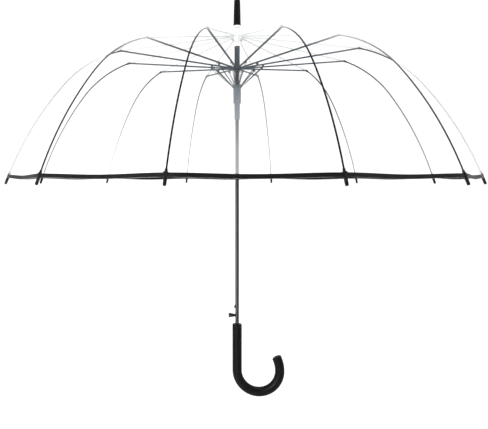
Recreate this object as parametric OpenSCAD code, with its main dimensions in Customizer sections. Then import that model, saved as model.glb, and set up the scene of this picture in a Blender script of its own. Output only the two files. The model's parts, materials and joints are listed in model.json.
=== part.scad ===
// Clear bubble umbrella with a hooked handle, open, in millimetres.
// The origin is the middle of the handle's straight part and +Z runs up the shaft.
// The hook points to +X, and the catch and its button to -X.
// Each rib assembly lies in one upright plane through the shaft: X there is the
// distance from the shaft's axis, Y is the height and Z is across the rib.

/* [Shaft and handle] */
// Outer diameter of the shaft tube
shaft_d = 8.5; // [8:0.1:9]
// Wall of the shaft tube
shaft_wall = 0.8; // [0.6:0.1:1]
// Diameter of the handle
handle_d = 20; // [18:0.5:24]
// Length of the handle's straight part
handle_straight = 111; // [90:1:120]
// Radius of the hook's centre line
hook_r = 48.5; // [44:0.5:55]
// Height of the underside of the ferrule
ferrule_z = 742; // [738:1:750]
// Length of the ferrule
ferrule_h = 60; // [50:1:70]
// Diameter of the ferrule at its foot
ferrule_d = 17.4; // [16:0.2:20]
// Diameter of the ferrule's nose
nose_d = 14; // [12:0.2:15]

/* [Ribs] */
// Diameter of a rib's rod
rib_d = 3; // [2.6:0.1:3.2]
// Distance of the rib joints from the shaft's axis
joint_r = 268; // [260:1:275]
// Bend radius of the rib just outside its joint
shoulder_r = 247; // [235:1:260]
// Bend radius of the rib towards the rim
side_r = 672; // [640:1:700]
// Slope of the rib at its joint
joint_slope = 15; // [14:0.5:16]
// Slope of the rib where its two bends meet
side_slope = 50; // [48:0.5:52]
// Slope of the rib at the rim
rim_slope = 69; // [67:0.5:71]
// Diameter of a tip cap
cap_d = 4.5; // [4:0.1:4.6]
// Length of a tip cap
cap_h = 21; // [16:1:26]

/* [Linkage] */
// Height of the notch's wire, on which the ribs turn
notch_z = 700; // [696:1:704]
// Height of the upper runner's wire, on which the stretchers turn
hub_z = 644; // [640:1:648]
// Height of the strut pivots in the lower runner's crown
crown_z = 602; // [600:1:604]
// Radius of the notch's and the upper runner's wires
pivot_r = 8; // [7.8:0.1:8.4]
// Radius of the strut pivots in the crown
crown_pivot_r = 10.5; // [10.3:0.1:11]
// Distance from a stretcher's inner end to its strut
strut_at = 52; // [48:1:56]
// Drop of the strut's rivet below the stretcher
strut_drop = 4; // [3.8:0.1:4.5]

/* [Canopy] */
// Thickness of the canopy solid
film_t = 0.6; // [0.4:0.1:1]
// Clear distance between the rib's centre line and the canopy
film_gap = 3; // [3:0.1:4]
// Height of the edge band
band_h = 8; // [6:0.5:10]
// Length of film below the ends of the ribs' bends
skirt = 12; // [10:1:14]

/* [Hidden] */
$fn = 48;
RIBS = 12;
FIRST_AZIMUTH = -72;
RUN_GAP = 0.35;
WIRE_D = 1.2;
EYE_R = 1.9;
EYE_HOLE_R = 0.95;
TONGUE_T = 1.4;
TONGUE_H = 2.4;
SLOT_W = 2;
KNUCKLE_R = 2.6;
KNUCKLE_HOLE_R = 1.15;
JOINT_PIN_R = 0.8;
CHEEK_T = 1;
CHEEK_IN = 1;
FORK_IN = 2.35;
FORK_L = 17.5;
STRETCHER_D = 2.6;
ARM_H = 3.2;
LUG_W = 3;
NECK_L = 6;
CAP_TAPER_H = 1.2;
GOOSE = [6, 16];
FLANGE_R = 9.6;
FLANGE_H = 8;
SLOT_FLOOR_R = 5.75;
CROWN_H = 5;
RUNNER_BODY_R = 8.8;
RUNNER_TAIL_R = 6.4;
RUNNER_STEP_Z = 563;
RUNNER_FOOT_Z = 526;
CATCH_WINDOW_TOP = 541;
SLEEVE_R = 6.2;
WASHER_H = 4;
WASHER_R = 9.6;
CATCH_Z = [92, 100];
CATCH_TIP_X = -7.4;
BUTTON_Z = [70, 80];
BUTTON_TIP_X = -19.5;
HANDLE_BORE_Z = 15;
CURL_R = 100;
CURL = 20;

shaft_r = shaft_d / 2;
bore_r = shaft_r + RUN_GAP;
handle_r = handle_d / 2;
handle_top = handle_straight / 2;
rim_dir = [cos(rim_slope), -sin(rim_slope)];
notch_pin = [pivot_r, notch_z];
hub_pin = [pivot_r, hub_z];
goose_end = notch_pin + GOOSE;
joint = [joint_r, (notch_z + hub_z) / 2];
stretch_dir = (joint - hub_pin) / norm(joint - hub_pin);
strut_pin = hub_pin + strut_at * stretch_dir + strut_drop * [stretch_dir.y, -stretch_dir.x];
crown_pin = [crown_pivot_r, crown_z];
shoulder_c = joint - on_arc(shoulder_r, joint_slope);
side_start = shoulder_c + on_arc(shoulder_r, side_slope);
side_c = side_start - on_arc(side_r, side_slope);
rib_end = side_c + on_arc(side_r, rim_slope);

function numbered(name, i) = str(name, i < 10 ? "_0" : "_", i);

function azimuth(i) = FIRST_AZIMUTH + (i - 1) * 360 / RIBS;

// A point of a circle about the origin where its outline slopes down by the given angle.
function on_arc(r, slope) = r * [sin(slope), cos(slope)];

function heading(from, to) = atan2(to.y - from.y, to.x - from.x);

// Outline of one side of the film at a distance from the ribs' centre line.
function film_side(gap, steps = 6) = concat(
    [for (k = [0:steps]) let (s = joint_slope + k * (side_slope - joint_slope) / steps)
        shoulder_c + on_arc(shoulder_r + gap, s)],
    [for (k = [1:steps]) let (s = side_slope + k * (rim_slope - side_slope) / steps)
        side_c + on_arc(side_r + gap, s)],
    [side_c + on_arc(side_r + gap, rim_slope) + skirt * rim_dir]
);

function reversed(list) = [for (k = [len(list) - 1:-1:0]) list[k]];

module rib_plane(i) {
    rotate([0, 0, azimuth(i)]) rotate([90, 0, 0]) children();
}

module at_every_rib() {
    for (i = [1:RIBS]) rotate([0, 0, azimuth(i)]) children();
}

// Disc across the rib, with its middle at a point of the rib's plane.
module disc(at, r, t, z = 0) {
    translate([at.x, at.y, z - t / 2]) cylinder(r = r, h = t);
}

// Round rod from one point of the rib's plane to another.
module rod(from, to, d) {
    translate([from.x, from.y, 0]) rotate([0, 0, heading(from, to)]) rotate([0, 90, 0])
        cylinder(d = d, h = norm(to - from));
}

// Flat bar from one point of the rib's plane to another.
module bar(from, to, h, t, z = 0) {
    translate([from.x, from.y, z - t / 2]) rotate([0, 0, heading(from, to)])
        translate([0, -h / 2, 0]) cube([norm(to - from), h, t]);
}

// Two flat bars side by side, with round ends over the pin.
module fork(at, to, reach, t, inside) {
    along = (to - at) / norm(to - at);
    for (side = [-1, 1]) {
        disc(at, KNUCKLE_R, t, side * (inside + t / 2));
        bar(at, at + reach * along, ARM_H, t, side * (inside + t / 2));
    }
}

// Round rod bent to a circle in the rib's plane, between two slopes.
module bent_rod(centre, r, slope_from, slope_to, d) {
    translate([centre.x, centre.y, 0]) rotate([0, 0, 90 - slope_to])
        rotate_extrude(angle = slope_to - slope_from, $fn = 360) translate([r, 0]) circle(d = d, $fn = 24);
}

module wire_ring(z) {
    translate([0, 0, z]) rotate_extrude() translate([pivot_r, 0]) circle(d = WIRE_D, $fn = 24);
}

// Radial slots that open outwards, one for each rib.
module radial_slots(floor_r, z0, z1, shift = 0) {
    at_every_rib() translate([floor_r, shift - SLOT_W / 2, z0]) cube([20, SLOT_W, z1 - z0]);
}

module shaft() {
    color("dimgray") difference() {
        translate([0, 0, HANDLE_BORE_Z]) cylinder(r = shaft_r, h = ferrule_z + 28 - HANDLE_BORE_Z);
        translate([0, 0, HANDLE_BORE_Z - 1])
            cylinder(r = shaft_r - shaft_wall, h = ferrule_z + 30 - HANDLE_BORE_Z);
        translate([-6, -1.2, CATCH_Z[0] - 1]) cube([6, 2.4, CATCH_Z[1] - CATCH_Z[0] + 2]);
        translate([-6, -1.9, BUTTON_Z[0] + 1]) cube([6, 3.8, BUTTON_Z[1] - BUTTON_Z[0] - 2]);
    }
}

module handle() {
    tip_c = [2 * hook_r - CURL_R, -handle_top];
    color("black") {
        difference() {
            union() {
                translate([0, 0, -handle_top]) cylinder(r = handle_r, h = handle_straight - 1.5);
                translate([0, 0, handle_top - 1.5])
                    cylinder(r1 = handle_r, r2 = handle_r - 1.5, h = 1.5);
            }
            translate([0, 0, HANDLE_BORE_Z]) cylinder(r = shaft_r + 0.05, h = handle_top);
        }
        rotate([90, 0, 0]) {
            translate([hook_r, -handle_top, 0]) rotate([0, 0, 180])
                rotate_extrude(angle = 180, $fn = 96) translate([hook_r, 0]) circle(r = handle_r);
            translate([tip_c.x, tip_c.y, 0]) {
                rotate_extrude(angle = CURL, $fn = 180) translate([CURL_R, 0]) circle(r = handle_r);
                rotate([0, 0, CURL]) translate([CURL_R, 0, 0]) sphere(r = handle_r);
            }
        }
    }
}

module ferrule() {
    taper_h = ferrule_h - 14;
    color("black") difference() {
        translate([0, 0, ferrule_z]) {
            cylinder(d1 = ferrule_d, d2 = nose_d, h = taper_h);
            translate([0, 0, taper_h]) cylinder(d = nose_d, h = 12);
            translate([0, 0, taper_h + 12]) cylinder(d1 = nose_d, d2 = nose_d - 4, h = 2);
        }
        translate([0, 0, ferrule_z - 1]) cylinder(r = shaft_r + 0.05, h = 29);
    }
}

module canopy_washer() {
    color("gainsboro") translate([0, 0, ferrule_z - WASHER_H]) difference() {
        cylinder(r = WASHER_R, h = WASHER_H);
        translate([0, 0, -1]) cylinder(r = shaft_r + 0.05, h = WASHER_H + 2);
    }
}

module canopy() {
    apex_z = ferrule_z - WASHER_H;
    color("white", 0.3) rotate([0, 0, azimuth(1)]) rotate_extrude($fn = RIBS) polygon(concat(
        [[5.2, apex_z], [WASHER_R, apex_z]],
        film_side(film_gap + film_t),
        reversed(film_side(film_gap)),
        [[WASHER_R, apex_z - film_t], [5.2, apex_z - film_t]]
    ));
}

module edge_band() {
    inner = side_c + on_arc(side_r + film_gap + film_t, rim_slope) + skirt * rim_dir;
    outer = side_c + on_arc(side_r + film_gap + film_t + 0.8, rim_slope) + skirt * rim_dir;
    color("black") rotate([0, 0, azimuth(1)]) rotate_extrude($fn = RIBS)
        polygon([inner, outer, outer - band_h * rim_dir, inner - band_h * rim_dir]);
}

module top_notch() {
    color("white") {
        difference() {
            union() {
                translate([0, 0, notch_z - 5]) cylinder(r = FLANGE_R, h = 10);
                translate([0, 0, notch_z]) cylinder(r = 6.5, h = 20);
            }
            translate([0, 0, notch_z - 6]) cylinder(r = shaft_r + 0.05, h = 30);
            radial_slots(SLOT_FLOOR_R, notch_z - 6, notch_z + 5.5);
        }
        wire_ring(notch_z);
    }
}

module upper_runner() {
    color("slategray") {
        difference() {
            union() {
                translate([0, 0, hub_z - FLANGE_H / 2]) cylinder(r = FLANGE_R, h = FLANGE_H);
                translate([0, 0, hub_z]) cylinder(r = SLEEVE_R, h = notch_z - 6 - hub_z);
            }
            translate([0, 0, hub_z - FLANGE_H]) cylinder(r = bore_r, h = 80);
            radial_slots(SLOT_FLOOR_R, hub_z - FLANGE_H, hub_z + 18);
        }
        wire_ring(hub_z);
    }
}

module main_spring() {
    top = hub_z - FLANGE_H / 2 - RUN_GAP;
    bottom = crown_z + CROWN_H / 2 + RUN_GAP;
    color("lightsteelblue") translate([0, 0, bottom]) difference() {
        cylinder(r = 7.2, h = top - bottom);
        translate([0, 0, -1]) cylinder(r = 5.4, h = top - bottom + 2);
    }
}

module lower_runner() {
    window_z = RUNNER_FOOT_Z - 1;
    color("slategray") difference() {
        union() {
            difference() {
                translate([0, 0, crown_z - CROWN_H / 2])
                    cylinder(r = crown_pivot_r + 1.3, h = CROWN_H);
                radial_slots(crown_pivot_r - 1.55, crown_z - CROWN_H, crown_z + CROWN_H);
            }
            translate([0, 0, RUNNER_STEP_Z])
                cylinder(r = RUNNER_BODY_R, h = crown_z - CROWN_H / 2 - RUNNER_STEP_Z);
            translate([0, 0, RUNNER_FOOT_Z])
                cylinder(r = RUNNER_TAIL_R, h = RUNNER_STEP_Z - RUNNER_FOOT_Z);
        }
        translate([0, 0, RUNNER_FOOT_Z - 1]) cylinder(r = bore_r, h = 100);
        translate([-10, -1.6, window_z]) cube([10, 3.2, CATCH_WINDOW_TOP - window_z]);
    }
}

module catch() {
    color("silver") translate([0, 0.8, 0]) rotate([90, 0, 0]) linear_extrude(1.6)
        polygon([
            [-0.5, CATCH_Z[0]], [CATCH_TIP_X, CATCH_Z[0]], [CATCH_TIP_X, CATCH_Z[0] + 2],
            [-4.4, CATCH_Z[1]], [-0.5, CATCH_Z[1]]
        ]);
}

module release_button() {
    h = BUTTON_Z[1] - BUTTON_Z[0];
    mid = (BUTTON_Z[0] + BUTTON_Z[1]) / 2;
    color("dimgray") {
        translate([BUTTON_TIP_X + 3, 0, mid]) rotate([0, -90, 0]) cylinder(d1 = h, d2 = h - 2, h = 3);
        translate([-8.5, 0, mid]) rotate([0, -90, 0]) cylinder(d = h, h = -8.5 - BUTTON_TIP_X - 3);
        translate([-8.6, -1.5, BUTTON_Z[0] + 2]) cube([7.6, 3, h - 4]);
    }
}

module rib_inner(i) {
    along = (joint - goose_end) / norm(joint - goose_end);
    rod_end = joint - 4.5 * along;
    color("black") rib_plane(i) difference() {
        union() {
            disc(notch_pin, EYE_R, TONGUE_T);
            bar(notch_pin, goose_end, TONGUE_H, TONGUE_T);
            disc(goose_end, TONGUE_H / 2, TONGUE_T);
            bar(goose_end, goose_end + 8 * along, TONGUE_H, TONGUE_T);
            rod(goose_end + 6 * along, rod_end, rib_d);
            bar(rod_end - 2 * along, joint, 2.8, TONGUE_T);
            disc(joint, KNUCKLE_R, TONGUE_T);
        }
        disc(notch_pin, EYE_HOLE_R, 4);
        disc(joint, KNUCKLE_HOLE_R, 4);
    }
}

module rib_outer(i) {
    rod_from = joint_slope + 1.3;
    start = shoulder_c + on_arc(shoulder_r, rod_from);
    cap_top = rib_end - 2 * rim_dir;
    cap_end = cap_top + cap_h * rim_dir;
    along = (start - joint) / norm(start - joint);
    color("black") rib_plane(i) {
        difference() {
            fork(joint, start, 6, CHEEK_T, CHEEK_IN);
            disc(joint, KNUCKLE_HOLE_R, 8);
        }
        bar(joint + 4.4 * along, joint + 7 * along, ARM_H, 2 * (CHEEK_IN + CHEEK_T));
        bent_rod(shoulder_c, shoulder_r, rod_from, side_slope, rib_d);
        bent_rod(side_c, side_r, side_slope, rim_slope, rib_d);
        rod(cap_top, cap_end, cap_d);
        translate([cap_end.x, cap_end.y, 0]) rotate([0, 0, -rim_slope]) rotate([0, 90, 0])
            cylinder(d1 = cap_d, d2 = cap_d / 2, h = CAP_TAPER_H);
    }
}

module stretcher(i) {
    inward = -stretch_dir;
    neck = hub_pin + NECK_L * stretch_dir;
    lug_top = hub_pin + strut_at * stretch_dir;
    color("dimgray") rib_plane(i) {
        fork(joint, hub_pin, FORK_L, CHEEK_T, FORK_IN);
        disc(joint, JOINT_PIN_R, 2 * (FORK_IN + CHEEK_T));
        bar(joint + (FORK_L - 1) * inward, joint + (FORK_L + 2) * inward, ARM_H,
            2 * (FORK_IN + CHEEK_T));
        rod(joint + FORK_L * inward, neck + 5 * stretch_dir, STRETCHER_D);
        difference() {
            union() {
                bar(hub_pin, neck + 7 * stretch_dir, TONGUE_H, TONGUE_T);
                disc(hub_pin, EYE_R, TONGUE_T);
                bar(lug_top, strut_pin, LUG_W, TONGUE_T);
                disc(strut_pin, EYE_R, TONGUE_T);
            }
            disc(hub_pin, EYE_HOLE_R, 4);
            disc(strut_pin, EYE_HOLE_R, 4);
        }
    }
}

module strut(i) {
    along = (crown_pin - strut_pin) / norm(crown_pin - strut_pin);
    cheek_in = TONGUE_T / 2 + RUN_GAP;
    color("dimgray") rib_plane(i) {
        for (side = [-1, 1]) {
            disc(strut_pin, 1.5, 0.8, side * (cheek_in + 0.4));
            bar(strut_pin, strut_pin + 7 * along, TONGUE_H, 0.8, side * (cheek_in + 0.4));
        }
        disc(strut_pin, 0.6, 2 * (cheek_in + 0.8));
        bar(strut_pin + 4 * along, strut_pin + 8 * along, TONGUE_H, 2 * (cheek_in + 0.8));
        bar(strut_pin + 7 * along, crown_pin, TONGUE_H, TONGUE_T);
        disc(crown_pin, TONGUE_H / 2, TONGUE_T);
    }
}

shaft();
handle();
ferrule();
canopy_washer();
canopy();
edge_band();
top_notch();
upper_runner();
main_spring();
lower_runner();
catch();
release_button();
for (i = [1:RIBS]) rib_inner(i);
for (i = [1:RIBS]) rib_outer(i);
for (i = [1:RIBS]) stretcher(i);
for (i = [1:RIBS]) strut(i);
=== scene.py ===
"""Looks of a clear bubble umbrella with a hooked handle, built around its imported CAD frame.

The film canopy, its welds and edge band, the tip caps, the spring, the stretchers and
struts, the ferrule, washer and crown collar, the handle and the button are made here. The
ribs, runners, notch, shaft and catch are the CAD nodes, dressed with procedural finishes.
"""
import json
import logging
import math
from dataclasses import dataclass, field
from enum import Enum

import bmesh
import bpy
from mathutils import Matrix, Vector


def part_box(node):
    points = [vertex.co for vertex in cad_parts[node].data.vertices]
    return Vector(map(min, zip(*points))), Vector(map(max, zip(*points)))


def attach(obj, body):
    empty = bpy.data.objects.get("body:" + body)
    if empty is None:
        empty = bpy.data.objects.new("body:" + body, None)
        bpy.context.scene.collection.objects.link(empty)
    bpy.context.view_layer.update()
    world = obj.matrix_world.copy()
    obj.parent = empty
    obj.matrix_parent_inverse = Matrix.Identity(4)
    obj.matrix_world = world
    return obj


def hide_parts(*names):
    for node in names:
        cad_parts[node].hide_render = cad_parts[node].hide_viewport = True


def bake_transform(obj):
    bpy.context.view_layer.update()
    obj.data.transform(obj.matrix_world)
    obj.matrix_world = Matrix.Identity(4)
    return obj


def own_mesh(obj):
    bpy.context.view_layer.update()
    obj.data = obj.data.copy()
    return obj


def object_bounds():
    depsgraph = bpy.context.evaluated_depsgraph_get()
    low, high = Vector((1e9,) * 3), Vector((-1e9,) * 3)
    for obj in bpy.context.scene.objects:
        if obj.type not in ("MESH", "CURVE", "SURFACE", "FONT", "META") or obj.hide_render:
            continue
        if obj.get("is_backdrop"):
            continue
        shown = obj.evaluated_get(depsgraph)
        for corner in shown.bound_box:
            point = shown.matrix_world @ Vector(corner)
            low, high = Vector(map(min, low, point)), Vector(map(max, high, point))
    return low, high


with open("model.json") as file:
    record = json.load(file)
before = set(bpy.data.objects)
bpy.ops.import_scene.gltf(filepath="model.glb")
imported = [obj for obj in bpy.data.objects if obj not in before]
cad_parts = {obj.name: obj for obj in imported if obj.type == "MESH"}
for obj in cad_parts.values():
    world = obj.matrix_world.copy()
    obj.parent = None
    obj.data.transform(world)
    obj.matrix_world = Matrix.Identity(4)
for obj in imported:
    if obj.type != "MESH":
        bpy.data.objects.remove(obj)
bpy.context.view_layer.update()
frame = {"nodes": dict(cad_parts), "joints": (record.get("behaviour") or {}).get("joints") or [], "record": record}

LOG = logging.getLogger("umbrella")
MM = 0.001
UP = Vector((0, 0, 1))
FULL_TURN = 2 * math.pi

ProfilePoint = tuple[float, float]
Colour = tuple[float, float, float]
Socket = bpy.types.NodeSocket
Value = Socket | float | tuple[float, ...]


class Slot(Enum):
    """The record's material slots that pieces here are dressed from."""

    FILM = "clear_film"
    BAND = "band"
    HANDLE = "handle_plastic"
    FERRULE = "ferrule_plastic"
    WASHER = "washer_plastic"
    SPRING = "spring_steel"
    RIB = "rib_black"
    RUNNER = "runner_plastic"
    NOTCH = "notch_plastic"
    STRETCHER = "stretcher_steel"
    SHAFT = "shaft_metal"
    CATCH = "catch_steel"
    BUTTON = "button_plastic"


# ---------------------------------------------------------------- finishes


class Graph:
    """A new material's node tree, and short ways to add the nodes used here."""

    def __init__(self, name: str) -> None:
        """Start the material, which reads its object's coordinates."""
        self.material = bpy.data.materials.new(name)
        self.material.use_nodes = True
        self.shader = self.material.node_tree.nodes["Principled BSDF"].inputs
        self.place: Socket = self.add("TexCoord").outputs["Object"]

    def add(self, kind: str, **settings: str) -> bpy.types.Node:
        """Add a shader node of a kind, with its settings."""
        node = self.material.node_tree.nodes.new(f"ShaderNode{kind}")
        for name, value in settings.items():
            setattr(node, name, value)
        return node

    def feed(self, target: Socket, value: Value) -> None:
        """Link a socket to the target, or give the target a constant."""
        if isinstance(value, bpy.types.NodeSocket):
            self.material.node_tree.links.new(value, target)
        else:
            target.default_value = value

    def mapped(self, scale: Colour) -> Socket:
        """The object's coordinates, scaled along X, Y and Z."""
        mapping = self.add("Mapping")
        self.feed(mapping.inputs["Vector"], self.place)
        self.feed(mapping.inputs["Scale"], scale)
        return mapping.outputs["Vector"]

    def noise(self, vector: Socket, scale: float, detail: float) -> Socket:
        """Noise of a scale per metre, with a number of octaves."""
        noise = self.add("TexNoise")
        self.feed(noise.inputs["Vector"], vector)
        self.feed(noise.inputs["Scale"], scale)
        self.feed(noise.inputs["Detail"], detail)
        return noise.outputs["Fac"]

    def math(self, operation: str, first: Socket, second: Value) -> Socket:
        """One arithmetic step on two values."""
        node = self.add("Math", operation=operation)
        self.feed(node.inputs[0], first)
        self.feed(node.inputs[1], second)
        return node.outputs["Value"]

    def vector(self, operation: str, first: Socket, second: Value | None = None,
               result: str = "Vector") -> Socket:
        """One step on one or two vectors, and the output that is named."""
        node = self.add("VectorMath", operation=operation)
        self.feed(node.inputs[0], first)
        if second is not None:
            self.feed(node.inputs[1], second)
        return node.outputs[result]

    def ramp(self, value: Socket, low_high: tuple[float, float],
             results: tuple[Value, Value]) -> Socket:
        """Take a value between two limits to a value between two results.

        Args:
            value: The socket that it reads.
            low_high: The two limits, past which the results stay level.
            results: What the limits become.

        Returns:
            The result.
        """
        node = self.add("MapRange")
        self.feed(node.inputs["Value"], value)
        for name, limit in zip(("From Min", "From Max", "To Min", "To Max"), low_high + results):
            self.feed(node.inputs[name], limit)
        return node.outputs["Result"]

    def mix(self, share: Socket, first: Value, second: Value) -> Socket:
        """Mix two colours, by a share of the second."""
        node = self.add("Mix", data_type="RGBA")
        self.feed(node.inputs["Factor"], share)
        self.feed(node.inputs["A"], first)
        self.feed(node.inputs["B"], second)
        return node.outputs["Result"]

    def bump(self, height: Socket, distance: float, strength: float) -> None:
        """Bump the shader's normal by a height."""
        node = self.add("Bump")
        self.feed(node.inputs["Height"], height)
        self.feed(node.inputs["Distance"], distance)
        self.feed(node.inputs["Strength"], strength)
        self.feed(self.shader["Normal"], node.outputs["Normal"])


@dataclass(frozen=True)
class Finish:
    """An opaque finish with fine mottling, worn gloss and a grain in its bump.

    Args (fields):
        name: The material's name.
        base: Main colour, linear RGB.
        other: Second colour that the mottling drifts to.
        rough: Lowest and highest roughness.
        grain: Noise scale of the surface grain, per metre.
        bump: Height of the grain in metres.
        stretch: Scale of the grain along X, Y and Z, to draw it out along a part.
        specular: Specular level on the shader.
        inside: Colour of the side that faces the shaft, where it differs; on the ribs it is lighter, a painted
            highlight.
    """

    name: str
    base: Colour
    other: Colour
    rough: tuple[float, float] = (0.3, 0.45)
    grain: float = 900.0
    bump: float = 0.00004
    stretch: Colour = (1.0, 1.0, 1.0)
    specular: float = 0.5
    inside: Colour | None = None

    def material(self) -> bpy.types.Material:
        """Build the material, or return it if it is already made."""
        made = bpy.data.materials.get(self.name)
        if made:
            return made
        graph = Graph(self.name)
        graph.feed(graph.shader["Specular IOR Level"], self.specular)
        drawn = graph.mapped(self.stretch)
        drift = graph.noise(drawn, self.grain * 0.06, 3.0)
        colour = graph.mix(drift, (*self.base, 1), (*self.other, 1))
        if self.inside:
            colour = self.shaft_side_painted_highlight(graph, colour)
        graph.feed(graph.shader["Base Color"], colour)
        wear = graph.noise(drawn, self.grain * 0.2, 4.0)
        graph.feed(graph.shader["Roughness"], graph.ramp(wear, (0.3, 0.7), self.rough))
        graph.bump(graph.noise(drawn, self.grain, 2.0), self.bump, 0.6)
        return graph.material

    def shaft_side_painted_highlight(self, graph: Graph, outside: Socket) -> Socket:
        """Mix in the inside colour where the surface faces the shaft's axis, a painted highlight on the ribs.

        Args:
            graph: The material's nodes.
            outside: The colour of the other side.

        Returns:
            The mixed colour.
        """
        away = graph.vector("NORMALIZE", graph.vector("MULTIPLY", graph.place, (1, 1, 0)))
        normal = graph.add("NewGeometry").outputs["Normal"]
        side = graph.vector("DOT_PRODUCT", away, normal, "Value")
        outward = graph.ramp(side, (-0.5, -0.25), (0.0, 1.0))
        return graph.mix(outward, (*self.inside, 1), outside)


@dataclass(frozen=True)
class FilmFinish:
    """Clear film: hazy towards the hem, partly real haze and partly painted reflection, glassy along the welds,
    with a painted glare over the crown and a pale veil edge on that is a painted reflection.

    Args (fields):
        name: The material's name.
        first_rib: Azimuth of one rib in radians.
        ribs: Number of ribs.
        tint: Colour of the veil, linear RGB.
        haze_and_reflection: Share of light that the film stops face on, at the hem and at the crown; partly real
            haze, partly painted reflection.
        heights: The heights in metres between which the haze and its painted reflection fade.
        crown_glare: Share of light that the film stops over the crown, a painted glare.
        crown_glare_at: The heights in metres between which the painted glare grows.
        weld: Distances from a rib at which the haze starts and at which it is full.
        grazing_reflection: Share of light that the film stops at a grazing angle, a painted reflection of the
            white surroundings.
        curve: Power of the rise between face on and edge on.
        rough: Roughness of the film's gloss.
        ripple: Height of the film's slack ripples in metres.
        ior: Index of refraction of the film.
    """

    name: str
    first_rib: float
    ribs: int
    tint: Colour = (0.93, 0.93, 0.915)
    haze_and_reflection: tuple[float, float] = (0.2, 0.02)
    heights: tuple[float, float] = (0.43, 0.55)
    crown_glare: float = 0.3
    crown_glare_at: tuple[float, float] = (0.69, 0.72)
    weld: tuple[float, float] = (0.006, 0.016)
    grazing_reflection: float = 0.98
    curve: float = 7.0
    rough: float = 0.12
    ripple: float = 0.0012
    ior: float = 1.45

    def material(self) -> bpy.types.Material:
        """Build the film material, or return it if it is already made."""
        made = bpy.data.materials.get(self.name)
        if made:
            return made
        graph = Graph(self.name)
        graph.feed(graph.shader["Roughness"], self.rough)
        graph.feed(graph.shader["IOR"], self.ior)
        drawn = graph.mapped((1, 1, 0.35))
        greyer = (*(0.95 * c for c in self.tint), 1)
        graph.feed(graph.shader["Base Color"],
                   graph.mix(graph.noise(drawn, 9.0, 2.0), (*self.tint, 1), greyer))
        graph.bump(graph.noise(drawn, 26.0, 2.0), self.ripple, 0.5)
        graph.feed(graph.shader["Alpha"], self.stopped(graph))
        return graph.material

    def stopped(self, graph: Graph) -> Socket:
        """Share of light that the film stops, from its haze, which is partly painted reflection, the painted glare
        over the crown and the painted reflection at a grazing angle.
        """
        split = graph.add("SeparateXYZ")
        graph.feed(split.inputs["Vector"], graph.place)
        x, y, z = split.outputs
        # Haze by height: partly real haze, partly painted reflection.
        fade = graph.ramp(z, self.heights, self.haze_and_reflection)
        from_first = graph.math("SUBTRACT", graph.math("ARCTAN2", y, x), self.first_rib)
        from_rib = graph.math("PINGPONG", from_first, math.pi / self.ribs)
        squares = [graph.math("MULTIPLY", axis, axis) for axis in (x, y)]
        reach = graph.math("SQRT", graph.math("ADD", *squares), 0.0)
        beside = graph.ramp(graph.math("MULTIPLY", from_rib, reach), self.weld, (0.0, 1.0))
        low = graph.math("MULTIPLY", fade, beside)
        # Painted glare over the crown.
        crown_glare = graph.ramp(z, self.crown_glare_at, (0.0, self.crown_glare))
        haze_and_reflection = graph.math("MAXIMUM", low, crown_glare)
        # Painted reflection: the pale veil grows towards a grazing angle.
        angle = graph.add("LayerWeight")
        graph.feed(angle.inputs["Blend"], 0.5)
        rise = graph.math("POWER", angle.outputs["Facing"], self.curve)
        return graph.ramp(rise, (0.0, 1.0), (haze_and_reflection, self.grazing_reflection))


FINISHES: dict[Slot, Finish] = {
    Slot.BAND: Finish("black_binding", (0.0015, 0.0015, 0.002), (0.005, 0.005, 0.006), (0.4, 0.6),
                      grain=2600, bump=0.00012, specular=0.08),
    Slot.HANDLE: Finish("black_handle_gloss", (0.0015, 0.0015, 0.0018), (0.003, 0.003, 0.0035),
                        (0.26, 0.36), grain=1400, bump=0.00003, specular=0.06),
    Slot.FERRULE: Finish("black_ferrule_satin", (0.0015, 0.0015, 0.0015),
                         (0.003, 0.003, 0.0035), (0.26, 0.36), grain=1600, bump=0.00003,
                         specular=0.09),
    Slot.WASHER: Finish("clear_washer", (0.7, 0.7, 0.68), (0.78, 0.78, 0.76), (0.2, 0.3)),
    Slot.SPRING: Finish("blued_spring_wire", (0.008, 0.014, 0.02), (0.05, 0.065, 0.08),
                        (0.2, 0.34), grain=5000, specular=0.6),
    # Ribs: black outside, with a lighter shaft side that is a painted highlight.
    Slot.RIB: Finish("black_rib_rod", (0.001, 0.001, 0.0015), (0.003, 0.003, 0.0035), (0.3, 0.42),
                     grain=1800, bump=0.00003, specular=0.05, inside=(0.1, 0.105, 0.11)),
    Slot.RUNNER: Finish("blue_grey_runner", (0.012, 0.02, 0.03), (0.11, 0.135, 0.16),
                        (0.2, 0.36), grain=5200, bump=0.00008, specular=0.35),
    Slot.NOTCH: Finish("pale_notch", (0.84, 0.84, 0.82), (0.92, 0.92, 0.9), (0.35, 0.5)),
    Slot.STRETCHER: Finish("blue_grey_stretcher_steel", (0.006, 0.011, 0.016),
                           (0.045, 0.06, 0.075), (0.3, 0.45), grain=4200, specular=0.22),
    Slot.SHAFT: Finish("dark_shaft_enamel", (0.003, 0.0035, 0.0045), (0.010, 0.011, 0.014),
                       (0.12, 0.22), grain=900, stretch=(1, 1, 0.08), specular=0.28),
    Slot.CATCH: Finish("blued_catch_steel", (0.006, 0.006, 0.007), (0.015, 0.015, 0.018),
                       (0.3, 0.42), grain=2200, specular=0.2),
    Slot.BUTTON: Finish("black_button_gloss", (0.003, 0.003, 0.0035), (0.006, 0.006, 0.007),
                        (0.24, 0.34), grain=1500, specular=0.15),
}

# Inner ribs painted pale grey, a painted glare where the crown's glare washes them out.
INNER_RIB_PAINTED_GLARE = Finish("glare_pale_inner_rib", (0.34, 0.35, 0.36), (0.56, 0.57, 0.58), (0.3, 0.42),
                  grain=3000, specular=0.3)
SLEEVE = Finish("dark_hub_sleeve", (0.006, 0.010, 0.014), (0.035, 0.046, 0.058), (0.18, 0.3),
                grain=4200, stretch=(1, 1, 0.2), specular=0.25)
OWN_FINISHES: dict[str, Finish] = {"rib_inner_": INNER_RIB_PAINTED_GLARE, "upper_runner": SLEEVE}


# ---------------------------------------------------------------- mesh helpers


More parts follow.
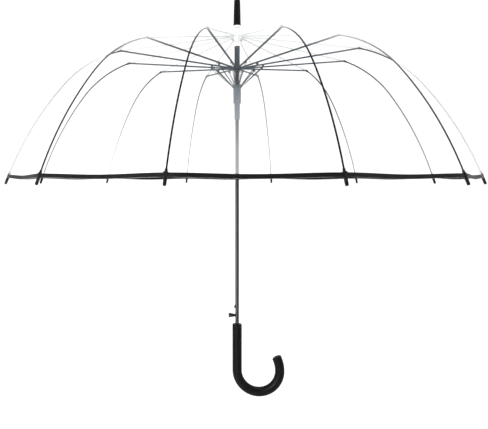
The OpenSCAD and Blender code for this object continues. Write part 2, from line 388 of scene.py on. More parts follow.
def finished_object(bm: bmesh.types.BMesh, name: str, material: bpy.types.Material,
                    sharp: float = 40.0, solid: bool = True) -> bpy.types.Object:
    """Merge doubles, point the faces outwards, shade smooth and make an object.

    Args:
        bm: The finished mesh, in metres, in place.
        name: The object's name.
        material: Its material.
        sharp: Edges that turn by more degrees than this stay sharp.
        solid: False for an open sheet whose faces already point the right way.

    Returns:
        The linked object, at the origin.
    """
    bmesh.ops.remove_doubles(bm, verts=bm.verts[:], dist=1e-6)
    if solid:
        bmesh.ops.recalc_face_normals(bm, faces=bm.faces[:])
    limit = math.radians(sharp)
    for face in bm.faces:
        face.smooth = True
    for edge in bm.edges:
        if len(edge.link_faces) == 2 and edge.calc_face_angle(0) > limit:
            edge.smooth = False
    mesh = bpy.data.meshes.new(name)
    bm.to_mesh(mesh)
    bm.free()
    mesh.materials.append(material)
    obj = bpy.data.objects.new(name, mesh)
    bpy.context.scene.collection.objects.link(obj)
    return obj


def chain(bm: bmesh.types.BMesh, points: list[Vector], closed: bool = False) -> list:
    """Add a chain of edges through the points.

    Args:
        bm: The mesh to add to.
        points: Where its vertices go.
        closed: Joins the last point to the first.

    Returns:
        Its vertices and edges, as the operators take them.
    """
    verts = [bm.verts.new(p) for p in points]
    pairs = list(zip(verts, verts[1:])) + ([(verts[-1], verts[0])] if closed else [])
    return verts + [bm.edges.new(pair) for pair in pairs]


def verts_of(geom: list) -> list[bmesh.types.BMVert]:
    """The vertices among an operator's results."""
    return [g for g in geom if isinstance(g, bmesh.types.BMVert)]


def edges_of(geom: list) -> list[bmesh.types.BMEdge]:
    """The edges among an operator's results."""
    return [g for g in geom if isinstance(g, bmesh.types.BMEdge)]


def turn_full(bm: bmesh.types.BMesh, geom: list, steps: int) -> None:
    """Spin an outline once about Z and close the turn."""
    bmesh.ops.spin(bm, geom=geom, cent=(0, 0, 0), axis=(0, 0, 1), angle=FULL_TURN, steps=steps,
                   use_merge=True)


def block(bm: bmesh.types.BMesh, size: tuple, place: tuple) -> list[bmesh.types.BMVert]:
    """Add a box of a size about a place and return its vertices."""
    verts = bmesh.ops.create_cube(bm, size=1)["verts"]
    bmesh.ops.scale(bm, verts=verts, vec=size)
    bmesh.ops.translate(bm, verts=verts, vec=place)
    return verts


def close_ends(bm: bmesh.types.BMesh) -> None:
    """Fill the open ends of a swept piece."""
    bmesh.ops.holes_fill(bm, edges=[e for e in bm.edges if e.is_boundary], sides=0)


def lathe(name: str, outline: list[ProfilePoint], material: bpy.types.Material,
          segments: int = 64, sharp: float = 40.0) -> bpy.types.Object:
    """Turn an outline of (radius, height) about the shaft's axis.

    Args:
        name: The object's name.
        outline: Points of the outline. It closes on itself, or starts and ends on the axis.
        material: Its material.
        segments: Steps of the turn.
        sharp: Edges that turn by more degrees than this stay sharp.

    Returns:
        The object.
    """
    bm = bmesh.new()
    on_axis = outline[0][0] == 0
    geom = chain(bm, [Vector((r, 0, z)) for r, z in outline], closed=not on_axis)
    turn_full(bm, geom, segments)
    return finished_object(bm, name, material, sharp)


def rounded(corner: ProfilePoint, before: ProfilePoint, after: ProfilePoint, r: float,
            steps: int = 4) -> list[ProfilePoint]:
    """Points of a rounded corner of an outline.

    Args:
        corner: The sharp corner.
        before: The point that the outline comes from.
        after: The point that it goes to.
        r: How far from the corner the rounding starts.
        steps: Number of pieces of the curve.

    Returns:
        Points from one tangent point to the other.
    """
    c, b, a = Vector(corner), Vector(before), Vector(after)
    start, end = c + (b - c).normalized() * r, c + (a - c).normalized() * r
    points = []
    for k in range(steps + 1):
        t = k / steps
        p = (1 - t) ** 2 * start + 2 * t * (1 - t) * c + t * t * end
        points.append((p.x, p.y))
    return points


def soft_outline(points: list[ProfilePoint], radii: list[float]) -> list[ProfilePoint]:
    """Round the corners of a closed outline.

    Args:
        points: The sharp outline, in order.
        radii: How much of each corner is rounded; 0 leaves it sharp.

    Returns:
        The outline with its corners rounded.
    """
    out: list[ProfilePoint] = []
    for k, (point, r) in enumerate(zip(points, radii)):
        before, after = points[k - 1], points[(k + 1) % len(points)]
        out += rounded(point, before, after, r) if r else [point]
    return out


def put_on(piece: bpy.types.Object, body: str, node: str = "") -> bpy.types.Object:
    """Ride a piece on a body, and hide the CAD node that it replaces.

    Args:
        piece: The piece, in place.
        body: The CAD body that it moves with.
        node: The CAD node that it stands for, if any.

    Returns:
        The piece.
    """
    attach(piece, body)
    if node:
        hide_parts(node)
    return piece


# ---------------------------------------------------------------- where things are


@dataclass
class Linkage:
    """Where the folding frame's pivots are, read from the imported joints."""

    joints: dict[str, dict] = field(
        default_factory=lambda: {j["name"]: j for j in frame["joints"]})
    ribs: int = 0
    azimuths: list[float] = field(default_factory=list)
    knee: ProfilePoint = (0.0, 0.0)

    def __post_init__(self) -> None:
        """Read the pivots of every rib."""
        self.ribs = sum(n.startswith("rib_outer_") for n in frame["nodes"])
        for i in range(1, self.ribs + 1):
            x, y, _ = self.joints[self.fold(i)]["pos_m"]
            self.azimuths.append(math.atan2(y, x))
        self.knee = self.in_plane(self.joints["stretcher_01_pivot"]["pos_m"])

    def fold(self, i: int) -> str:
        """Name of the joint that rib i folds on."""
        return "open_close" if i == 1 else f"rib_{i:02d}_fold"

    def tangent(self, i: int) -> tuple[float, float, float]:
        """Direction across rib i."""
        a = self.azimuths[i - 1]
        return (-math.sin(a), math.cos(a), 0.0)

    @staticmethod
    def in_plane(place: list[float]) -> ProfilePoint:
        """Distance from the shaft's axis and height of a place."""
        return (math.hypot(place[0], place[1]), place[2])

    @staticmethod
    def at(point: ProfilePoint, azimuth: float) -> Vector:
        """The place of a profile point at an azimuth."""
        return Vector((point[0] * math.cos(azimuth), point[0] * math.sin(azimuth), point[1]))


@dataclass
class RibCurve:
    """The line of an open rib beyond its knee: a tight bend, then a wide one, to the rim.

    Sizes are in metres and degrees, as the ribs are made.
    """

    knee: ProfilePoint
    shoulder_r: float = 0.247
    side_r: float = 0.672
    knee_slope: float = 15.0
    side_slope: float = 50.0
    rim_slope: float = 69.0

    def points(self, gap: float, skirt: float, steps: int = 14) -> list[ProfilePoint]:
        """Profile at a distance outside the rib's centre line.

        Args:
            gap: Distance outside the centre line.
            skirt: Straight length beyond the rib's last bend.
            steps: Points on each bend.

        Returns:
            (radius, height) points from the knee to the rim.
        """
        centre = self.stepped(self.knee, -self.shoulder_r, self.knee_slope)
        line = [self.stepped(centre, self.shoulder_r + gap, self.slope_at(k / steps, True))
                for k in range(steps + 1)]
        turn = self.stepped(centre, self.shoulder_r, self.side_slope)
        centre = self.stepped(turn, -self.side_r, self.side_slope)
        line += [self.stepped(centre, self.side_r + gap, self.slope_at(k / steps, False))
                 for k in range(1, steps + 1)]
        last = math.radians(self.rim_slope)
        line.append((line[-1][0] + skirt * math.cos(last), line[-1][1] - skirt * math.sin(last)))
        return line

    def slope_at(self, share: float, shoulder: bool) -> float:
        """Slope in degrees at a share of one of the two bends."""
        low, high = ((self.knee_slope, self.side_slope) if shoulder
                     else (self.side_slope, self.rim_slope))
        return low + share * (high - low)

    @staticmethod
    def stepped(start: ProfilePoint, r: float, slope: float) -> ProfilePoint:
        """The point at distance r from start, square to a line of the given slope."""
        s = math.radians(slope)
        return (start[0] + r * math.sin(s), start[1] + r * math.cos(s))


# ---------------------------------------------------------------- canopy


@dataclass
class Canopy:
    """The clear film, welded along the ribs, with its black edge band."""

    linkage: Linkage
    curve: RibCurve
    gap: float = 1.9 * MM
    skirt: float = 12 * MM
    crown_r: float = 90 * MM
    hole_r: float = 5.2 * MM
    hem_drop: float = 3.0 * MM
    hem_reach: float = 90 * MM
    hollow: float = 0.012
    across: int = 12
    weld_w: float = 4 * MM
    band_h: float = 7.2 * MM
    band_t: float = 1.7 * MM
    inner_keep: float = 0.25
    outer_keep: float = 0.14
    length_factor: float = 1.04
    films: list[bpy.types.Object] = field(default_factory=list)

    def __post_init__(self) -> None:
        """Set the film's finish by where the ribs are."""
        first, ribs = self.linkage.azimuths[0], self.linkage.ribs
        self.finish = FilmFinish("canopy_film", first, ribs)
        # Along the welds the veil, partly painted reflection, and the painted glare are thinner.
        self.weld_finish = FilmFinish("canopy_film_weld", first, ribs, haze_and_reflection=(0.03, 0.02),
                                      crown_glare=0.1, weld=(0.0015, 0.002), rough=0.2,
                                      ripple=0.0003)

    def build(self) -> list[bpy.types.Object]:
        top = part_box("canopy")[1].z - 0.3 * MM
        outer = self.curve.points(self.gap, self.skirt)
        rim = outer[-1][1]
        knee = outer[0]
        crown = self.straight((self.hole_r, top), knee, 0, self.crown_r, 8)
        inner = self.straight((self.hole_r, top), knee, self.crown_r, knee[0], 10)
        for i in range(1, self.linkage.ribs + 1):
            rib_in, rib_out = f"rib_inner_{i:02d}", f"rib_outer_{i:02d}"
            tangent, fold = self.linkage.tangent(i), self.linkage.fold(i)
            azimuth = self.linkage.azimuths[i - 1]
            crown_film = self.film(f"film_crown_{i:02d}", i, crown, rim)
            inner_film = self.film(f"film_inner_{i:02d}", i, inner, rim)
            outer_film = self.film(f"film_outer_{i:02d}", i, outer, rim)
            weld_in = self.weld(f"weld_inner_{i:02d}", i, inner)
            weld_out = self.weld(f"weld_outer_{i:02d}", i, outer)
            band = self.band(f"edge_band_{i:02d}", i, rim)
            self.linkage.at(crown[1], azimuth)
            self.linkage.at(crown[-1], azimuth)
            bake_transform(crown_film)
            for piece, body in ((inner_film, rib_in), (weld_in, rib_in), (outer_film, rib_out),
                                (weld_out, rib_out)):
                put_on(piece, body)
            put_on(band, rib_out)
            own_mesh(inner_film)
            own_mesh(outer_film)
            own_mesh(band)
            self.declare(crown_film)
            self.declare(inner_film)
            self.declare(outer_film)
            self.films += [crown_film, inner_film, outer_film]
            if i == 1:
                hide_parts("canopy")
                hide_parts("edge_band")
        return self.films

    @staticmethod
    def straight(a: ProfilePoint, b: ProfilePoint, r0: float, r1: float,
                 steps: int) -> list[ProfilePoint]:
        """Points of the straight line from a to b, between two radii."""
        r0 = max(r0, a[0])
        fall = (b[1] - a[1]) / (b[0] - a[0])
        reach = [r0 + (r1 - r0) * k / steps for k in range(steps + 1)]
        return [(r, a[1] + fall * (r - a[0])) for r in reach]

    def stretched(self, place: Vector, i: int, rim: float) -> Vector:
        """Move a point of the turned surface to where the film really lies.

        Between two ribs the film is stretched straight, a little hollow, and its hem hangs
        a little lower than at the ribs.

        Args:
            place: A point of the surface of revolution.
            i: The rib that it belongs to.
            rim: Height of the hem at the ribs.

        Returns:
            The point of the film.
        """
        half = math.pi / self.linkage.ribs
        r = math.hypot(place.x, place.y)
        off = math.atan2(place.y, place.x) - self.linkage.azimuths[i - 1]
        off = abs((off + math.pi) % FULL_TURN - math.pi)
        straight = math.cos(half) / math.cos(half - off)
        middle = math.sin(math.pi * off / (2 * half)) ** 2
        bow = self.hollow * middle * min(1.0, r / self.linkage.knee[0]) ** 2
        near_hem = max(0.0, 1 - (place.z - rim) / self.hem_reach)
        drop = self.hem_drop * middle * near_hem ** 2
        scale = straight * (1 - bow * (1 - near_hem ** 2 * 0.7))
        return Vector((place.x * scale, place.y * scale, place.z - drop))

    def turned(self, bm: bmesh.types.BMesh, geom: list, i: int, rim: float) -> None:
        """Spin a profile over one rib's share of the canopy and stretch it into place."""
        share = FULL_TURN / self.linkage.ribs
        bmesh.ops.spin(bm, geom=geom, cent=(0, 0, 0), axis=(0, 0, 1), angle=share,
                       steps=self.across)
        for vert in bm.verts:
            vert.co = self.stretched(vert.co, i, rim)

    def film(self, name: str, i: int, line: list[ProfilePoint], rim: float) -> bpy.types.Object:
        """One rib's strip of film, from the middle of one gore to the middle of the next."""
        bm = bmesh.new()
        start = self.linkage.azimuths[i - 1] - math.pi / self.linkage.ribs
        geom = chain(bm, [self.linkage.at(p, start) for p in line])
        self.turned(bm, geom, i, rim)
        bmesh.ops.reverse_faces(bm, faces=[f for f in bm.faces if f.normal.z < 0])
        bm.normal_update()
        bmesh.ops.reverse_faces(bm, faces=[f for f in bm.faces if self.inward(f)])
        return finished_object(bm, name, self.finish.material(), 60, solid=False)

    @staticmethod
    def inward(face: bmesh.types.BMFace) -> bool:
        """True if a face of the film points down or towards the shaft."""
        middle = face.calc_center_median()
        return face.normal.dot(Vector((middle.x, middle.y, 0.3 * abs(middle.z)))) < 0

    def weld(self, name: str, i: int, line: list[ProfilePoint]) -> bpy.types.Object:
        """The double film of the weld that runs along the outside of a rib."""
        azimuth = self.linkage.azimuths[i - 1]
        side = Vector(self.linkage.tangent(i)) * self.weld_w
        lifted = [(r + 0.25 * MM, z + 0.25 * MM) for r, z in line]
        bm = bmesh.new()
        geom = chain(bm, [self.linkage.at(p, azimuth) - side / 2 for p in lifted])
        wide = bmesh.ops.extrude_edge_only(bm, edges=edges_of(geom))["geom"]
        bmesh.ops.translate(bm, vec=side, verts=verts_of(wide))
        bmesh.ops.reverse_faces(bm, faces=[f for f in bm.faces if self.inward(f)])
        return finished_object(bm, name, self.weld_finish.material(), 60, solid=False)

    def band(self, name: str, i: int, rim: float) -> bpy.types.Object:
        """The black tape that is folded over the film's edge, for one rib's share."""
        slope = math.radians(self.curve.rim_slope)
        down = Vector((math.cos(slope), -math.sin(slope)))
        out = Vector((math.sin(slope), math.cos(slope)))
        edge = Vector(self.curve.points(self.gap, self.skirt)[-1])
        hem = edge - down * 0.5 * MM
        t, h = self.band_t / 2, self.band_h
        corners = [hem + out * t, hem - out * t,
                   hem - out * t - down * h, hem + out * t - down * h]
        line = soft_outline([(c.x, c.y) for c in corners], [0.5 * MM] * 4)
        start = self.linkage.azimuths[i - 1] - math.pi / self.linkage.ribs
        bm = bmesh.new()
        geom = chain(bm, [self.linkage.at(p, start) for p in line], closed=True)
        self.turned(bm, geom, i, rim)
        close_ends(bm)
        return finished_object(bm, name, FINISHES[Slot.BAND].material(), 50)

    def declare(self, sheet: bpy.types.Object) -> None:
        """Sum the area of a strip's faces, from its mesh; the sum is not used."""
        bm = bmesh.new()
        bm.from_mesh(sheet.data)
        area = sum(f.calc_area() for f in bm.faces)
        bm.free()


# ---------------------------------------------------------------- plastic and steel parts


@dataclass
class TipCaps:
    """The black caps on the rib ends, with the collar that grips the edge band."""

    linkage: Linkage
    curve: RibCurve
    r: float = 2.9 * MM
    length: float = 24.8 * MM
    clip_from: float = 2.6 * MM
    clip_to: float = 6.2 * MM
    clip_w: float = 8.4 * MM

    def build(self) -> list[bpy.types.Object]:
        """Make one cap on every rib."""
        return [self.cap(i) for i in range(1, self.linkage.ribs + 1)]

    def cap(self, i: int) -> bpy.types.Object:
        """Turn one cap about its own axis and lay it along the rib's end."""
        end = self.curve.points(0, 0)[-1]
        slope = math.radians(self.curve.rim_slope)
        azimuth = self.linkage.azimuths[i - 1]
        outward = Vector((math.cos(azimuth), math.sin(azimuth), 0))
        along = outward * math.cos(slope) - UP * math.sin(slope)
        across = UP.cross(outward)
        start = self.linkage.at(end, azimuth)
        r, tail = self.r, self.length
        outline = [(0, -2.4 * MM), (1.9 * MM, -2.4 * MM), (2.35 * MM, -1.8 * MM),
                   (2.4 * MM, 1.4 * MM), (r, 2 * MM), (r, 12.4 * MM), (r + 0.3 * MM, 12.8 * MM),
                   (r + 0.3 * MM, 13.8 * MM), (r, 14.2 * MM), (r * 0.96, tail - 1.6 * MM),
                   (r * 0.85, tail - 0.6 * MM), (r * 0.55, tail), (0, tail + 0.15 * MM)]
        bm = bmesh.new()
        geom = chain(bm, [Vector((x, 0, z)) for x, z in outline])
        turn_full(bm, geom, 28)
        clip = block(bm, (self.clip_w, 5.6 * MM, self.clip_to - self.clip_from),
                     (0, 0, (self.clip_to + self.clip_from) / 2))
        bmesh.ops.bevel(bm, geom=list({e for v in clip for e in v.link_edges}), offset=0.8 * MM,
                        segments=3, profile=0.5, affect="EDGES", material=-1)
        turn = Matrix((across, along.cross(across), along)).transposed()
        bmesh.ops.transform(bm, matrix=Matrix.Translation(start) @ turn.to_4x4(),
                            verts=bm.verts[:])
        cap = finished_object(bm, f"tip_cap_{i:02d}", FINISHES[Slot.FERRULE].material(), 45)
        return put_on(cap, f"rib_outer_{i:02d}")


@dataclass
class MainSpring:
    """The coil spring between the two runners."""

    wire_r: float = 0.85 * MM
    coil_r: float = 7.6 * MM
    turns: float = 8.5
    sides: int = 10
    steps_a_turn: int = 40
    keep: float = 0.19

    def build(self) -> bpy.types.Object:
        """Spin the wire's section up a helix, with closed end turns."""
        low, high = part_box("main_spring")
        bm = bmesh.new()
        bottom = low.z + self.wire_r
        section = bmesh.ops.create_circle(bm, segments=self.sides, radius=self.wire_r)["verts"]
        bmesh.ops.rotate(bm, verts=section, cent=(0, 0, 0),
                         matrix=Matrix.Rotation(math.pi / 2, 3, "X"))
        bmesh.ops.translate(bm, verts=section, vec=(self.coil_r, 0, bottom))
        rise = high.z - low.z - 2 * self.wire_r
        last: list = list({e for v in section for e in v.link_edges}) + section
        for turns, lift in ((1.0, 2.1 * self.wire_r), (self.turns - 2, rise - 4.2 * self.wire_r),
                            (1.0, 2.1 * self.wire_r)):
            steps = round(turns * self.steps_a_turn)
            last = bmesh.ops.spin(bm, geom=last, cent=(0, 0, 0), axis=(0, 0, 1),
                                  angle=turns * FULL_TURN, steps=steps,
                                  dvec=(0, 0, lift / steps))["geom_last"]
        close_ends(bm)
        spring = finished_object(bm, "coil_spring", FINISHES[Slot.SPRING].material(), 60)
        put_on(spring, "upper_runner", "main_spring")
        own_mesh(spring)
        return spring


@dataclass
class Crest:
    """The ferrule on the shaft's top, the washer that clamps the film, and a collar below."""

    segments: int = 96
    nose_r: float = 7 * MM
    cap_h: float = 9 * MM
    collar_bore_r: float = 4.6 * MM
    collar_r: float = 6.4 * MM
    washer_bore_r: float = 4.3 * MM

    def build(self) -> list[bpy.types.Object]:
        """Make them and put them on the shaft."""
        return [self.ferrule(), self.washer(), self.collar()]

    def collar(self) -> bpy.types.Object:
        """A pale sleeve on the shaft between the crown block and the film."""
        low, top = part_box("top_notch")[1].z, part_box("canopy")[1].z - 1.5 * MM
        bore, r = self.collar_bore_r, self.collar_r
        line = [(bore, low), (r, low), (r, top), (bore, top)]
        collar = lathe("crown_collar", soft_outline(line, [0, 0.4 * MM, 0.8 * MM, 0]),
                       FINISHES[Slot.NOTCH].material(), self.segments)
        return put_on(collar, "root")

    def ferrule(self) -> bpy.types.Object:
        """A slightly tapered black nose with a foot ring and a capped end."""
        low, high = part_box("ferrule")
        foot_r, nose_r = high.x, self.nose_r
        cap_z = high.z - self.cap_h
        body = [
            (foot_r, low.z), (foot_r, low.z + 3 * MM), (foot_r - 0.35 * MM, low.z + 3.5 * MM),
            (nose_r + 0.25 * MM, cap_z - 0.6 * MM), (nose_r - 0.35 * MM, cap_z - 0.2 * MM),
            (nose_r - 0.35 * MM, cap_z + 0.3 * MM), (nose_r + 0.05 * MM, cap_z + 0.8 * MM),
            (nose_r + 0.05 * MM, high.z - 2.2 * MM), (nose_r - 0.7 * MM, high.z - 0.8 * MM),
            (nose_r - 2.2 * MM, high.z), (0, high.z)]
        ferrule = lathe("ferrule_nose", [(0, low.z)] + body,
                        FINISHES[Slot.FERRULE].material(), self.segments, 30)
        return put_on(ferrule, "root", "ferrule")

    def washer(self) -> bpy.types.Object:
        """A clear ring with rounded edges under the ferrule."""
        low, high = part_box("canopy_washer")
        inside = self.washer_bore_r
        line = soft_outline([(inside, low.z), (high.x, low.z), (high.x, high.z), (inside, high.z)],
                            [0, 1.2 * MM, 1.2 * MM, 0])
        washer = lathe("washer_ring", line, FINISHES[Slot.WASHER].material(), self.segments)
        return put_on(washer, "root", "canopy_washer")


@dataclass
class Handle:
    """The black hooked handle, moulded in one piece over the shaft's end."""

    hook_r: float = 48.5 * MM
    curl_r: float = 72 * MM
    curl: float = 24.6
    end_h: float = 4.0 * MM
    sides: int = 56
    collar_h: float = 5 * MM
    padded: float = 0.9 * MM
    lifted: float = 4 * MM

    def build(self) -> bpy.types.Object:
        """Extrude the grip, spin the hook and its curl, and close the end with a dome."""
        low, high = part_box("handle")
        r = high.y + self.padded
        top = high.z
        bend = low.z + r + self.hook_r + self.lifted
        bm = bmesh.new()
        rings = [(4.3 * MM, top - 3 * MM), (4.3 * MM, top - 0.2 * MM), (4.8 * MM, top),
                 (r - 2.2 * MM, top), (r - 0.9 * MM, top - 0.35 * MM),
                 (r - 0.2 * MM, top - 1.3 * MM),
                 (r, top - 2.4 * MM), (r, top - self.collar_h),
                 (r - 0.35 * MM, top - self.collar_h - 0.3 * MM),
                 (r - 0.35 * MM, top - self.collar_h - 0.9 * MM),
                 (r, top - self.collar_h - 1.2 * MM)]
        steps = 10
        foot = rings[-1][1]
        rings += [(r, foot + (bend - foot) * k / steps) for k in range(1, steps + 1)]
        ring = bmesh.ops.create_circle(bm, segments=self.sides, radius=rings[0][0])["verts"]
        bmesh.ops.translate(bm, verts=ring, vec=(0, 0, rings[0][1]))
        edges = list({e for v in ring for e in v.link_edges})
        for (r_old, z_old), (r_new, z_new) in zip(rings, rings[1:]):
            edges, verts = self.extruded(bm, edges)
            bmesh.ops.scale(bm, verts=verts, vec=(r_new / r_old, r_new / r_old, 1))
            bmesh.ops.translate(bm, verts=verts, vec=(0, 0, z_new - z_old))
        geom = self.spun(bm, edges, (self.hook_r, 0, bend), 180, 72)
        curl_x = 2 * self.hook_r - self.curl_r
        geom = self.spun(bm, edges_of(geom), (curl_x, 0, bend), self.curl, 12)
        angle = math.radians(self.curl)
        end = Vector((curl_x + self.curl_r * math.cos(angle), 0,
                      bend + self.curl_r * math.sin(angle)))
        self.dome(bm, edges_of(geom), end, Vector((-math.sin(angle), 0, math.cos(angle))), r)
        close_ends(bm)
        handle = finished_object(bm, "hook_handle", FINISHES[Slot.HANDLE].material(), 45)
        return put_on(handle, "root", "handle")

    @staticmethod
    def extruded(bm: bmesh.types.BMesh, edges: list) -> tuple[list, list]:
        """Extrude a ring of edges and return the new ring's edges and vertices."""
        new = bmesh.ops.extrude_edge_only(bm, edges=edges)["geom"]
        verts = verts_of(new)
        members = set(verts)
        ring = [e for e in edges_of(new) if e.verts[0] in members and e.verts[1] in members]
        return ring, verts

    @staticmethod
    def spun(bm: bmesh.types.BMesh, edges: list, centre: tuple, degrees: float,
             steps: int) -> list:
        """Spin a ring of edges about a line along Y, from the grip towards the hook's tip."""
        verts = list({v for e in edges for v in e.verts})
        return bmesh.ops.spin(bm, geom=verts + edges, cent=centre, axis=(0, -1, 0),
                              angle=math.radians(degrees), steps=steps)["geom_last"]

    def dome(self, bm: bmesh.types.BMesh, edges: list, centre: Vector, along: Vector,
             r: float) -> None:
        """Close the hook's tip with a nearly flat end that has a well rounded edge."""
        steps = 10
        shrunk, risen = 1.0, 0.0
        for k in range(1, steps + 1):
            angle = math.pi / 2 * k / (steps + 0.3)
            edges, verts = self.extruded(bm, edges)
            share, rise = math.cos(angle) ** 0.62, self.end_h * math.sin(angle)
            bmesh.ops.translate(bm, verts=verts, vec=-(centre + along * risen))
            bmesh.ops.scale(bm, verts=verts, vec=(share / shrunk,) * 3)
            bmesh.ops.translate(bm, verts=verts, vec=centre + along * rise)
            shrunk, risen = share, rise


@dataclass
class FoldingArms:
    """The channel-shaped stretchers and the wire struts that fold the ribs."""

    linkage: Linkage
    width: float = 3.4 * MM
    height: float = 3.0 * MM
    wall: float = 0.5 * MM
    wire_r: float = 0.62 * MM
    wires_apart: float = 3.4 * MM
    neck: float = 6.0 * MM
    tongue_t: float = 1.4 * MM
    tongue_h: float = 2.4 * MM

    def __post_init__(self) -> None:
        """Read the hub's and the strut's pivots, and find the pin on the lower runner."""
        joints = self.linkage.joints
        self.hub = self.linkage.in_plane(joints["upper_runner_pivot"]["pos_m"])
        self.elbow = self.linkage.in_plane(joints["strut_01_pivot"]["pos_m"])
        self.crown = (10.5 * MM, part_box("lower_runner")[1].z - 2.5 * MM)

    def build(self) -> list[bpy.types.Object]:
        """Make a stretcher and a strut for every rib."""
        made = []
        for i in range(1, self.linkage.ribs + 1):
            channel, strut = self.channel(i), self.strut(i)
            for piece, node in ((channel, f"stretcher_{i:02d}"), (strut, f"strut_{i:02d}")):
                put_on(piece, node, node)
                made.append(piece)
        return made

    def frame_of(self, i: int, start: ProfilePoint, end: ProfilePoint) -> tuple[Matrix, float]:
        """A matrix whose X runs from start to end in a rib's plane, and their distance."""
        azimuth = self.linkage.azimuths[i - 1]
        a, b = self.linkage.at(start, azimuth), self.linkage.at(end, azimuth)
        along = (b - a).normalized()
        across = Vector(self.linkage.tangent(i))
        turn = Matrix((along, across, along.cross(across))).transposed()
        return Matrix.Translation(a) @ turn.to_4x4(), (b - a).length

    def channel(self, i: int) -> bpy.types.Object:
        """An upside-down channel from the hub to the knee, with its lug and rivets."""
        place, length = self.frame_of(i, self.hub, self.linkage.knee)
        w, h, t = self.width / 2, self.height / 2, self.wall
        section = [(-w, -h), (-w, h), (w, h), (w, -h), (w - t, -h), (w - t, h - t),
                   (t - w, h - t), (t - w, -h)]
        bm = bmesh.new()
        geom = chain(bm, [Vector((self.neck, y, z)) for y, z in section], closed=True)
        face = bmesh.ops.contextual_create(bm, geom=geom)["faces"]
        far = bmesh.ops.extrude_face_region(bm, geom=face)["geom"]
        bmesh.ops.translate(bm, vec=(length - 1.6 * MM - self.neck, 0, 0),
                            verts=verts_of(far))
        bmesh.ops.recalc_face_normals(bm, faces=bm.faces[:])
        bmesh.ops.bevel(bm, geom=[e for e in bm.edges if e.verts[0].co.z > h * 0.9
                                  and e.verts[1].co.z > h * 0.9], offset=0.35 * MM,
                        segments=3, profile=0.5, affect="EDGES", material=-1)
        tongue_l = self.neck + 3 * MM
        block(bm, (tongue_l, self.tongue_t, self.tongue_h), (tongue_l / 2, 0, 0))
        to_elbow = place.inverted() @ self.linkage.at(self.elbow, self.linkage.azimuths[i - 1])
        for side in (-1, 1):
            block(bm, (4.4 * MM, 0.6 * MM, 5.4 * MM),
                  (to_elbow.x, side * (w - 0.25 * MM), to_elbow.z + 1.5 * MM))
        self.rivet(bm, Vector((length, 0, 0)), 1.5 * MM, 6.2 * MM)
        self.rivet(bm, to_elbow, 1.1 * MM, 5.0 * MM)
        bmesh.ops.transform(bm, matrix=place, verts=bm.verts[:])
        return finished_object(bm, f"channel_{i:02d}", FINISHES[Slot.STRETCHER].material(), 45)

    def strut(self, i: int) -> bpy.types.Object:
        """A hairpin of two thin wires from the lower runner to the stretcher's lug."""
        place, length = self.frame_of(i, self.crown, self.elbow)
        bm = bmesh.new()
        turn = Matrix.Rotation(math.pi / 2, 3, "Y")
        for side in (-1, 1):
            reach = self.wires_apart / 2
            wire = self.rod(bm, self.wire_r, length, turn)
            for vert in wire:
                share = min(1.0, max(0.25, (vert.co.x + length / 2) / length * 1.6))
                vert.co += Vector((length / 2, side * reach * share, 0))
        self.rivet(bm, Vector((0, 0, 0)), 0.8 * MM, 2.4 * MM)
        self.rivet(bm, Vector((length, 0, 0)), 0.8 * MM, 5.0 * MM)
        bmesh.ops.transform(bm, matrix=place, verts=bm.verts[:])
        return finished_object(bm, f"wire_strut_{i:02d}", FINISHES[Slot.STRETCHER].material(), 45)

    @staticmethod
    def rod(bm: bmesh.types.BMesh, r: float, length: float, turn: Matrix) -> list:
        """Add a round rod about the origin, turned from Z, and return its vertices."""
        rod = bmesh.ops.create_cone(bm, cap_ends=True, segments=12, radius1=r, radius2=r,
                                    depth=length)["verts"]
        bmesh.ops.rotate(bm, verts=rod, cent=(0, 0, 0), matrix=turn)
        return rod

    def rivet(self, bm: bmesh.types.BMesh, place: Vector, r: float, length: float) -> None:
        """Add a rivet that lies across the rib's plane."""
        rivet = self.rod(bm, r, length, Matrix.Rotation(math.pi / 2, 3, "X"))
        bmesh.ops.translate(bm, verts=rivet, vec=place)


@dataclass
class ReleaseButton:
    """The push button at the top of the handle: a broad cap, a barrel and a flat stem."""

    cap_l: float = 6.0 * MM
    barrel_r: float = 4.0 * MM
    stem_l: float = 7.6 * MM
    stem_w: float = 2.9 * MM
    stem_h: float = 5.9 * MM

    def build(self) -> bpy.types.Object:
        """Turn it about its own axis and lay it across the shaft."""
        low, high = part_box("release_button")
        middle, r = (low.z + high.z) / 2, high.y
        length = high.x - low.x
        outline = [(0, 0), (r - 1.6 * MM, 0), (r - 0.5 * MM, 0.4 * MM), (r, 1.5 * MM),
                   (r, self.cap_l), (self.barrel_r, self.cap_l + 0.3 * MM),
                   (self.barrel_r, length - self.stem_l), (0, length - self.stem_l)]
        bm = bmesh.new()
        geom = chain(bm, [Vector((x, 0, z)) for x, z in outline])
        turn_full(bm, geom, 48)
        stem_l = self.stem_l + 1 * MM
        block(bm, (self.stem_h, self.stem_w, stem_l), (0, 0, length - stem_l / 2))
        bmesh.ops.rotate(bm, verts=bm.verts[:], cent=(0, 0, 0),
                         matrix=Matrix.Rotation(math.pi / 2, 3, "Y"))
        bmesh.ops.translate(bm, verts=bm.verts[:], vec=(low.x, 0, middle))
        button = finished_object(bm, "push_button", FINISHES[Slot.BUTTON].material(), 40)
        return put_on(button, "release_button", "release_button")


# ---------------------------------------------------------------- CAD nodes


def dress_cad_nodes() -> list[str]:
    """Give every CAD node that still shows the finish of its material slot.

    Returns:
        The nodes that were dressed.
    """
    dressed = []
    for part in frame["record"]["subparts"]:
        node = frame["nodes"][part["node"]]
        if node.hide_render:
            continue
        finish = FINISHES[Slot(part["material_slot"])]
        for start, own in OWN_FINISHES.items():
            if part["node"].startswith(start):
                finish = own
        node.data.materials.clear()
        node.data.materials.append(finish.material())
        dressed.append(part["node"])
    return dressed


# ---------------------------------------------------------------- studio


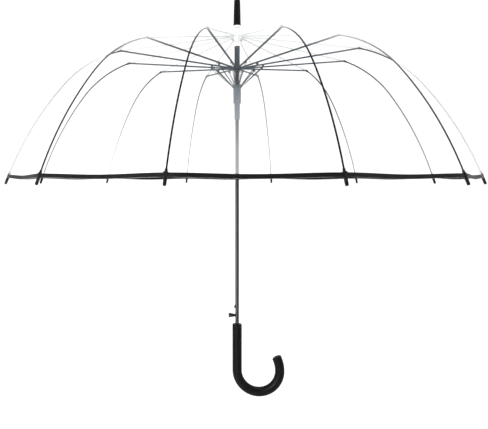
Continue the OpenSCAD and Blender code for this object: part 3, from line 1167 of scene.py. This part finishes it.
@dataclass
class Studio:
    """White sweep, soft lights and the camera at the height of the canopy's rim."""

    distance: float = 1.371
    lens: float = 43.63
    turned: float = 6.0
    rim_drop: float = 9 * MM
    shift_x: float = 0.1415
    shift_y: float = -0.0701
    floor_gap: float = 0.25
    floor_half: float = 6.0
    bend_r: float = 1.8
    sky: float = 0.95

    def build(self) -> None:
        """Set the stage."""
        low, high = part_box("edge_band")
        self.camera((low.z + high.z) / 2 - self.rim_drop)
        self.sweep(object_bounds()[0][2] - self.floor_gap)
        self.lights()
        self.world()
        bpy.context.scene.view_settings.view_transform = "Standard"

    def camera(self, height: float) -> None:
        """Put the camera straight in front, level, at the given height."""
        data = bpy.data.cameras.new("camera")
        data.lens = self.lens
        data.sensor_width = 36
        data.shift_x, data.shift_y = self.shift_x, self.shift_y
        data.clip_end = 60
        camera = bpy.data.objects.new("camera", data)
        camera.location = (0, -self.distance, height)
        camera.rotation_euler = (math.pi / 2, 0, math.radians(self.turned))
        bpy.context.scene.collection.objects.link(camera)
        bpy.context.scene.camera = camera

    def sweep(self, floor: float) -> None:
        """A pale floor that curves up into the backdrop on every side."""
        bm = bmesh.new()
        line = [(0, floor), (self.floor_half * 0.55, floor)]
        bend = self.bend_r
        for k in range(1, 17):
            a = math.pi / 2 * k / 16
            line.append((line[1][0] + bend * math.sin(a), floor + bend * (1 - math.cos(a))))
        line.append((line[-1][0], floor + self.floor_half))
        geom = chain(bm, [Vector((r, 0, z)) for r, z in line])
        turn_full(bm, geom, 96)
        stage = finished_object(bm, "studio_sweep", self.pale(), 30)
        stage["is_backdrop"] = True

    @staticmethod
    def pale() -> bpy.types.Material:
        """Matt white paper, hardly mottled."""
        return Finish("white_paper", (0.975, 0.975, 0.975), (0.985, 0.985, 0.985), (0.8, 0.9),
                      grain=60, bump=0.0001, specular=0.1).material()

    def lights(self) -> None:
        """Broad soft lights and a low strip that draws a highlight down the shaft."""
        for name, place, aim, size, power in (
                ("key", (-1.6, -2.0, 2.6), (0, 0, 0.4), (1.6, 1.6), 34),
                ("fill", (2.4, -1.4, 1.2), (0, 0, 0.3), (1.4, 1.4), 16),
                ("top", (0, 0.3, 3.4), (0, 0, 0.3), (2.2, 2.2), 42),
                ("low_strip", (-0.42, -0.8, 0.12), (0, 0, 0.16), (0.42, 0.5), 10)):
            data = bpy.data.lights.new(name, "AREA")
            data.shape = "RECTANGLE"
            data.size, data.size_y = size
            data.energy = power
            lamp = bpy.data.objects.new(name, data)
            lamp.location = place
            aimed = (Vector(aim) - Vector(place)).to_track_quat("-Z", "Y")
            lamp.rotation_euler = aimed.to_euler()
            bpy.context.scene.collection.objects.link(lamp)

    def world(self) -> None:
        """Even white light from all round."""
        world = bpy.data.worlds.new("studio_air")
        world.use_nodes = True
        sky = world.node_tree.nodes["Background"]
        sky.inputs["Color"].default_value = (1, 1, 1, 1)
        sky.inputs["Strength"].default_value = self.sky
        bpy.context.scene.world = world


def main() -> None:
    """Build the studio and the umbrella, and report each group of pieces."""
    logging.basicConfig(level=logging.INFO, format="%(message)s")
    Studio().build()
    linkage = Linkage()
    curve = RibCurve(linkage.knee)
    LOG.info("film strips: %d", len(Canopy(linkage, curve).build()))
    LOG.info("tip caps: %d", len(TipCaps(linkage, curve).build()))
    LOG.info("spring: %s", MainSpring().build().name)
    LOG.info("crest: %s", [piece.name for piece in Crest().build()])
    LOG.info("handle: %s", Handle().build().name)
    LOG.info("stretchers and struts: %d", len(FoldingArms(linkage).build()))
    LOG.info("button: %s", ReleaseButton().build().name)
    LOG.info("CAD nodes dressed: %d", len(dress_cad_nodes()))


if __name__ == "__main__":
    main()
